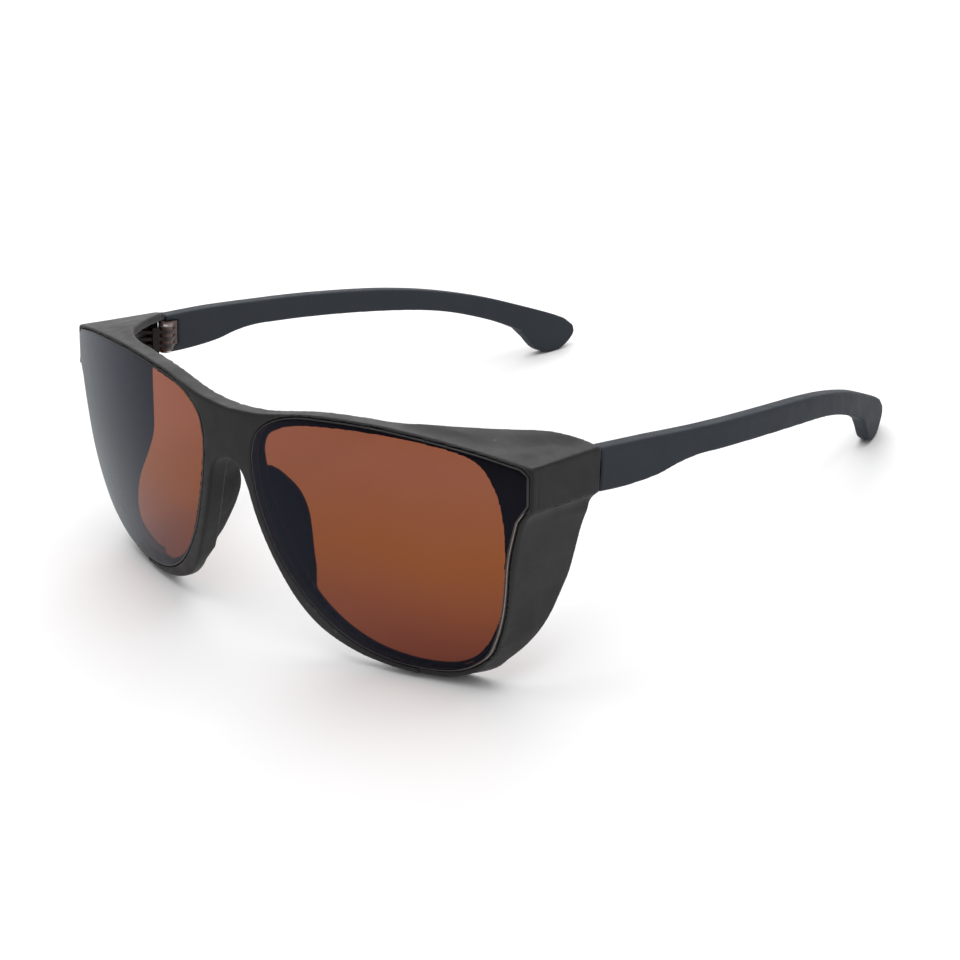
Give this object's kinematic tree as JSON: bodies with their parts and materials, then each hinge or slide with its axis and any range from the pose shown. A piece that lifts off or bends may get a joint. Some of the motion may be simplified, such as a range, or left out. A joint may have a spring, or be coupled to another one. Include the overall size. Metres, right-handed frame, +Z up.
{
  "type": "glacier glasses",
  "caption": "Wrap-around mountain sunglasses with flush dark lenses, fixed side shields, soft nose pads and folding temples on flex hinges.",
  "frame": {"origin": "middle of the footprint, on the surface the glasses rest on with the temples open", "axes": "+Z up, +Y from the front towards the temple tips, +X towards the wearer's left"},
  "size_m": [0.145, 0.1522, 0.0545],
  "materials": {
    "frame_polymer": "soft-touch matte",
    "lens_brown": "polished, dark brown tint",
    "shield_polymer": "soft-touch matte",
    "pad_rubber": "soft matte",
    "hinge_metal": "dark satin",
    "leaf_metal": "satin, warm brown",
    "screw_steel": "plain",
    "spring_steel": "plain",
    "temple_polymer": "soft-touch matte"
  },
  "bodies": {
    "frame": {"frame_front": "frame_polymer", "lens_left": "lens_brown", "lens_right": "lens_brown", "side_shield_left": "shield_polymer", "side_shield_right": "shield_polymer", "nose_pad_left": "pad_rubber", "nose_pad_right": "pad_rubber", "hinge_block_left": "hinge_metal", "hinge_block_right": "hinge_metal", "hinge_screw_left": "screw_steel", "hinge_screw_right": "screw_steel"},
    "left_leaf": {"hinge_slider_left": "leaf_metal", "spring_pin_left": "screw_steel", "flex_spring_left": "spring_steel"},
    "left_temple": {"temple_left": "temple_polymer", "spring_stop_left": "leaf_metal"},
    "right_leaf": {"hinge_slider_right": "leaf_metal", "spring_pin_right": "screw_steel", "flex_spring_right": "spring_steel"},
    "right_temple": {"temple_right": "temple_polymer", "spring_stop_right": "leaf_metal"}
  },
  "joints": [
    {"name": "left_fold", "type": "hinge", "parent": "frame", "child": "left_leaf", "pos_m": [0.0648, -0.0404, 0.04098], "axis": [0, 0.198, 0.9802], "range_deg": [0, 90]},
    {"name": "left_slide", "type": "slide", "parent": "left_leaf", "child": "left_temple", "axis": [0, 0.9802, -0.198], "range_m": [0, 0.0007], "stiffness_N_per_m": 3000, "springref_m": -0.0003},
    {"name": "right_fold", "type": "hinge", "parent": "frame", "child": "right_leaf", "pos_m": [-0.0648, -0.0404, 0.04098], "axis": [0, -0.198, -0.9802], "range_deg": [0, 75]},
    {"name": "right_slide", "type": "slide", "parent": "right_leaf", "child": "right_temple", "axis": [0, 0.9802, -0.198], "range_m": [0, 0.0007], "stiffness_N_per_m": 3000, "springref_m": -0.0003}
  ]
}
